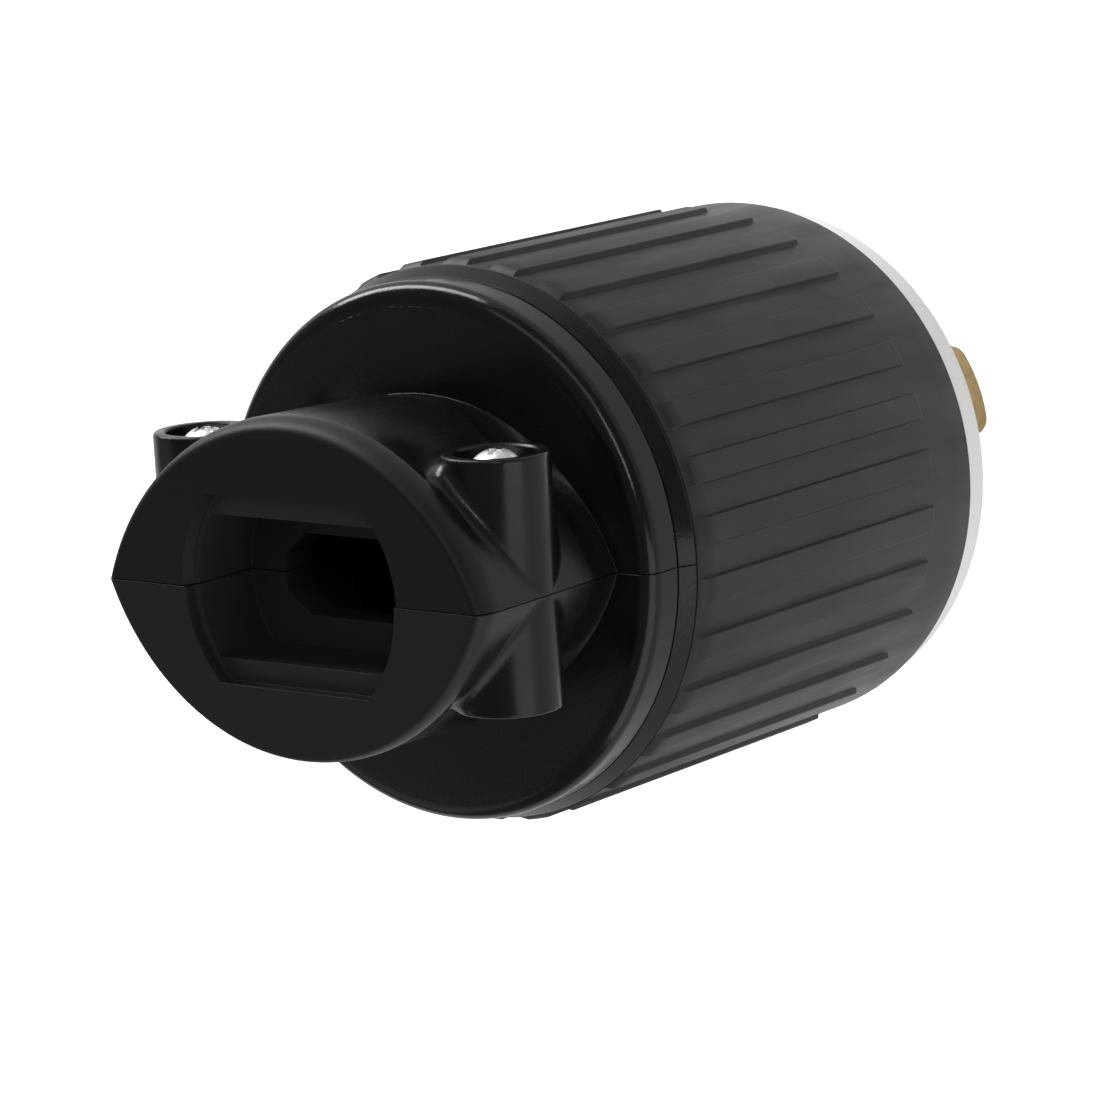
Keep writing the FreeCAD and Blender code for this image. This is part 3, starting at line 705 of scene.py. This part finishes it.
brass = metal_material("rolled_brass", color=(0.46, 0.32, 0.13), dull=(0.35, 0.24, 0.10),
                       bright=(0.66, 0.50, 0.25), rough=(0.22, 0.36), lines=5200.0, depth=0.000006)
for name in blade_angles:
    link_piece(copy_rounded("blade_" + name, blade_edge), "brass_blade_" + name, brass, "plug_body", "brass",
               "blade_" + name)
    link_piece(copy_rounded("wire_plate_" + name, plate_edge), "pressure_plate_" + name, brass,
               "wire_plate_" + name, "plate_brass", "wire_plate_" + name)
for number in (1, 2):
    node = "screw_insert_%d" % number
    link_piece(copy_rounded(node, insert_edge), "brass_insert_%d" % number, brass, "plug_body",
               "insert_brass", node)


# Screws and nuts: steel, cold headed with a slot across a square cross recess, and rolled threads. The clamp
# screws, long screws and nuts are bright zinc. The terminal screws tell the wires: brass, zinc and green.
boss_x = 18.8
boss_z = 91.9
screw_seat_y = 11.5
terminal_seat_r = 17.8
terminal_z = 41.0
ring_r = 21.5
long_seat_z = 21.8
thread_pitch = 0.79
thread_depth = 0.38
nut_edge = 0.15
head_break = 0.12
recess_edge = 0.06
tip_height = 0.3
crown_share = 0.55
dome_rings = 8
# Half sizes along x and y, as shares of the head's radius, and depth of each cut in a head.
recess = {"slot": (1.2, 0.14, 0.75), "cross": (0.14, 0.55, 1.15), "core": (0.30, 0.30, 1.25)}
thread_sides = 24
rows_per_turn = 8.0
flank_slope = 2.4
long_screw_angles = (65.5, 245.5)
clamp_screw_turn = 0.25
clamp_screw = {"head_r": 2.6, "head_height": 2.7, "shank_r": 1.75, "plain": 7.0, "length": 22.4}
long_screw = {"head_r": 3.0, "head_height": 2.0, "shank_r": 1.75, "plain": 20.0, "length": 35.2}
terminal_screw = {"head_r": 3.7, "head_height": 2.2, "shank_r": 2.0, "plain": 1.0, "length": 6.4}


def thread_group():
    """A rolled thread: a tube grid whose radius rises and falls along a helix, closed by a tip."""
    tree = bpy.data.node_groups.new("rolled_thread", "GeometryNodeTree")
    face = tree.interface
    face.new_socket(name="Geometry", in_out="INPUT", socket_type="NodeSocketGeometry")
    for socket in ("Radius", "Length", "Pitch", "Depth"):
        face.new_socket(name=socket, in_out="INPUT", socket_type="NodeSocketFloat")
    face.new_socket(name="Material", in_out="INPUT", socket_type="NodeSocketMaterial")
    face.new_socket(name="Geometry", in_out="OUTPUT", socket_type="NodeSocketGeometry")
    given, out = tree.nodes.new("NodeGroupInput"), tree.nodes.new("NodeGroupOutput")

    def math(operation, *terms):
        made = add(tree, "ShaderNodeMath", {"operation": operation})
        for index, term in enumerate(terms):
            if isinstance(term, (int, float)):
                made.inputs[index].default_value = term
            else:
                tree.links.new(term, made.inputs[index])
        return made.outputs[0]

    radius, length, pitch, depth = (given.outputs[n] for n in ("Radius", "Length", "Pitch", "Depth"))
    rows = math("ADD", math("ROUND", math("MULTIPLY", math("DIVIDE", length, pitch), rows_per_turn)), 1.0)
    grid = add(tree, "GeometryNodeMeshGrid", links={"Vertices Y": rows}, Size_X=1.0, Size_Y=1.0,
               Vertices_X=thread_sides + 1)
    place = add(tree, "ShaderNodeSeparateXYZ", links={0: add(tree, "GeometryNodeInputPosition").outputs[0]})
    turn = math("ADD", place.outputs["X"], 0.5)
    down = math("MULTIPLY", math("ADD", place.outputs["Y"], 0.5), length)
    phase = math("FRACT", math("SUBTRACT", math("DIVIDE", down, pitch), turn))
    off_middle = math("ABSOLUTE", math("SUBTRACT", phase, 0.5))
    ridge = math("MINIMUM", math("MULTIPLY", off_middle, flank_slope), 1.0)
    near_tip = math("DIVIDE", math("SUBTRACT", length, down), pitch)
    taper = math("SUBTRACT", 1.0, math("MINIMUM", near_tip, 1.0))
    cut = math("MULTIPLY", math("MAXIMUM", math("SUBTRACT", 1.0, ridge), taper), depth)
    out_r = math("SUBTRACT", radius, cut)
    angle = math("MULTIPLY", turn, 2 * pi)
    spot = add(tree, "ShaderNodeCombineXYZ",
               links={"X": math("MULTIPLY", out_r, math("COSINE", angle)),
                      "Y": math("MULTIPLY", out_r, math("SINE", angle)), "Z": math("MULTIPLY", down, -1.0)})
    moved = add(tree, "GeometryNodeSetPosition",
                links={"Geometry": grid.outputs[0], "Position": spot.outputs[0]})
    joined = add(tree, "GeometryNodeJoinGeometry")
    tree.links.new(given.outputs["Geometry"], joined.inputs[0])
    tree.links.new(moved.outputs[0], joined.inputs[0])
    sealed = add(tree, "GeometryNodeMergeByDistance", links={"Geometry": joined.outputs[0]}, Distance=0.000001)
    real = add(tree, "GeometryNodeRealizeInstances", links={0: sealed.outputs[0]})
    painted = add(tree, "GeometryNodeSetMaterial",
                  links={"Geometry": real.outputs[0], "Material": given.outputs["Material"]})
    tree.links.new(painted.outputs[0], out.inputs[0])
    return tree


def block_mesh(half_x, half_y, low, high):
    """A block about the Z axis between two levels."""
    bm = bmesh.new()
    bmesh.ops.create_cube(bm, size=2.0)
    for vert in bm.verts:
        z = high if vert.co.z > 0 else low
        vert.co = Vector((vert.co.x * half_x, vert.co.y * half_y, z)) * MM
    return mesh_from(bm, "cutter")


def head_mesh(head_r, head_height, shank_r, plain):
    """A domed head with a slot and a cross recess, and a short plain shank under it."""
    crown = head_height * crown_share
    dome_r = (head_r ** 2 + crown ** 2) / (2 * crown)
    side_z = head_height - crown
    outline = [(0, -plain), (shank_r, -plain), (shank_r, 0), (head_r - head_break, 0), (head_r, head_break),
               (head_r, side_z)]
    for k in range(1, dome_rings + 1):
        r = head_r * (1 - k / dome_rings)
        outline.append((r, head_height - dome_r + (dome_r ** 2 - r ** 2) ** 0.5))
    head = put("head", mesh_from(lathe(outline), "head"))
    cutters = []
    for half_x, half_y, depth in recess.values():
        block = block_mesh(head_r * half_x, head_r * half_y, head_height - depth, head_height + 1)
        cutter = put("cutter", block)
        modifier = head.modifiers.new("cut", "BOOLEAN")
        modifier.operation = "DIFFERENCE"
        modifier.object = cutter
        cutters.append(cutter)
    made = finished(head)
    for spare in [head] + cutters:
        bpy.data.objects.remove(spare)
    round_edges(made, recess_edge)
    return made


rolled_thread = thread_group()


def screw_mesh(head_r, head_height, shank_r, plain, length, material, place):
    """A screw with its head up +Z at the origin, then moved to its place by a matrix."""
    head = head_mesh(head_r, head_height, shank_r - thread_depth * 0.5, plain + 0.01)
    head.transform(Matrix.Translation((0, 0, plain * MM)))
    tip_z = -(length - plain)
    tip = lathe([(0, tip_z), (shank_r - thread_depth, tip_z), (0, tip_z + tip_height)])
    tip.from_mesh(head)
    tip.to_mesh(head)
    tip.free()
    made = run_nodes(head, rolled_thread, Radius=shank_r * MM, Length=(length - plain) * MM,
                     Pitch=thread_pitch * MM, Depth=thread_depth * MM, Material=material)
    made.transform(place @ Matrix.Translation((0, 0, -plain * MM)))
    smooth_by_angle(made, 38)
    return made


zinc = metal_material("bright_zinc", color=(0.70, 0.71, 0.72), dull=(0.55, 0.56, 0.57),
                      bright=(0.86, 0.87, 0.88), rough=(0.34, 0.46), lines=3000.0, depth=0.000003)
green = metal_material("green_zinc", color=(0.10, 0.30, 0.12), dull=(0.06, 0.20, 0.08),
                       bright=(0.40, 0.55, 0.38), rough=(0.24, 0.40), lines=3000.0, depth=0.000003)
for node in ("clamp_nut_left", "clamp_nut_right"):
    link_piece(copy_rounded(node, nut_edge), "hex_" + node, zinc, "plug_body", "zinc", node)
for side, sign in (("left", -1), ("right", 1)):
    node = "clamp_screw_" + side
    place = Matrix.Translation(Vector((sign * boss_x, screw_seat_y, boss_z)) * MM)
    place = place @ Matrix.Rotation(-pi / 2, 4, "X") @ Matrix.Rotation(clamp_screw_turn * sign, 4, "Z")
    mesh = screw_mesh(**clamp_screw, material=zinc, place=place)
    link_piece(mesh, "zinc_" + node, zinc, node, "zinc", node)
for number, angle in enumerate(long_screw_angles, 1):
    node = "long_screw_%d" % number
    place = Matrix.Rotation(radians(angle), 4, "Z") @ Matrix.Translation(Vector((ring_r, 0, long_seat_z)) * MM)
    mesh = screw_mesh(**long_screw, material=zinc, place=place @ Matrix.Rotation(pi, 4, "X"))
    link_piece(mesh, "steel_" + node, zinc, "plug_body", "steel", node)
for name, angle in blade_angles.items():
    node = "terminal_screw_" + name
    slot = {"neutral": "terminal_silver", "ground": "terminal_green"}.get(name, "terminal_brass")
    metal = {"neutral": zinc, "ground": green}.get(name, brass)
    place = Matrix.Rotation(radians(angle), 4, "Z")
    place = place @ Matrix.Translation(Vector((terminal_seat_r, 0, terminal_z)) * MM)
    mesh = screw_mesh(**terminal_screw, material=metal, place=place @ Matrix.Rotation(pi / 2, 4, "Y"))
    link_piece(mesh, "round_" + node, metal, node, slot, node)
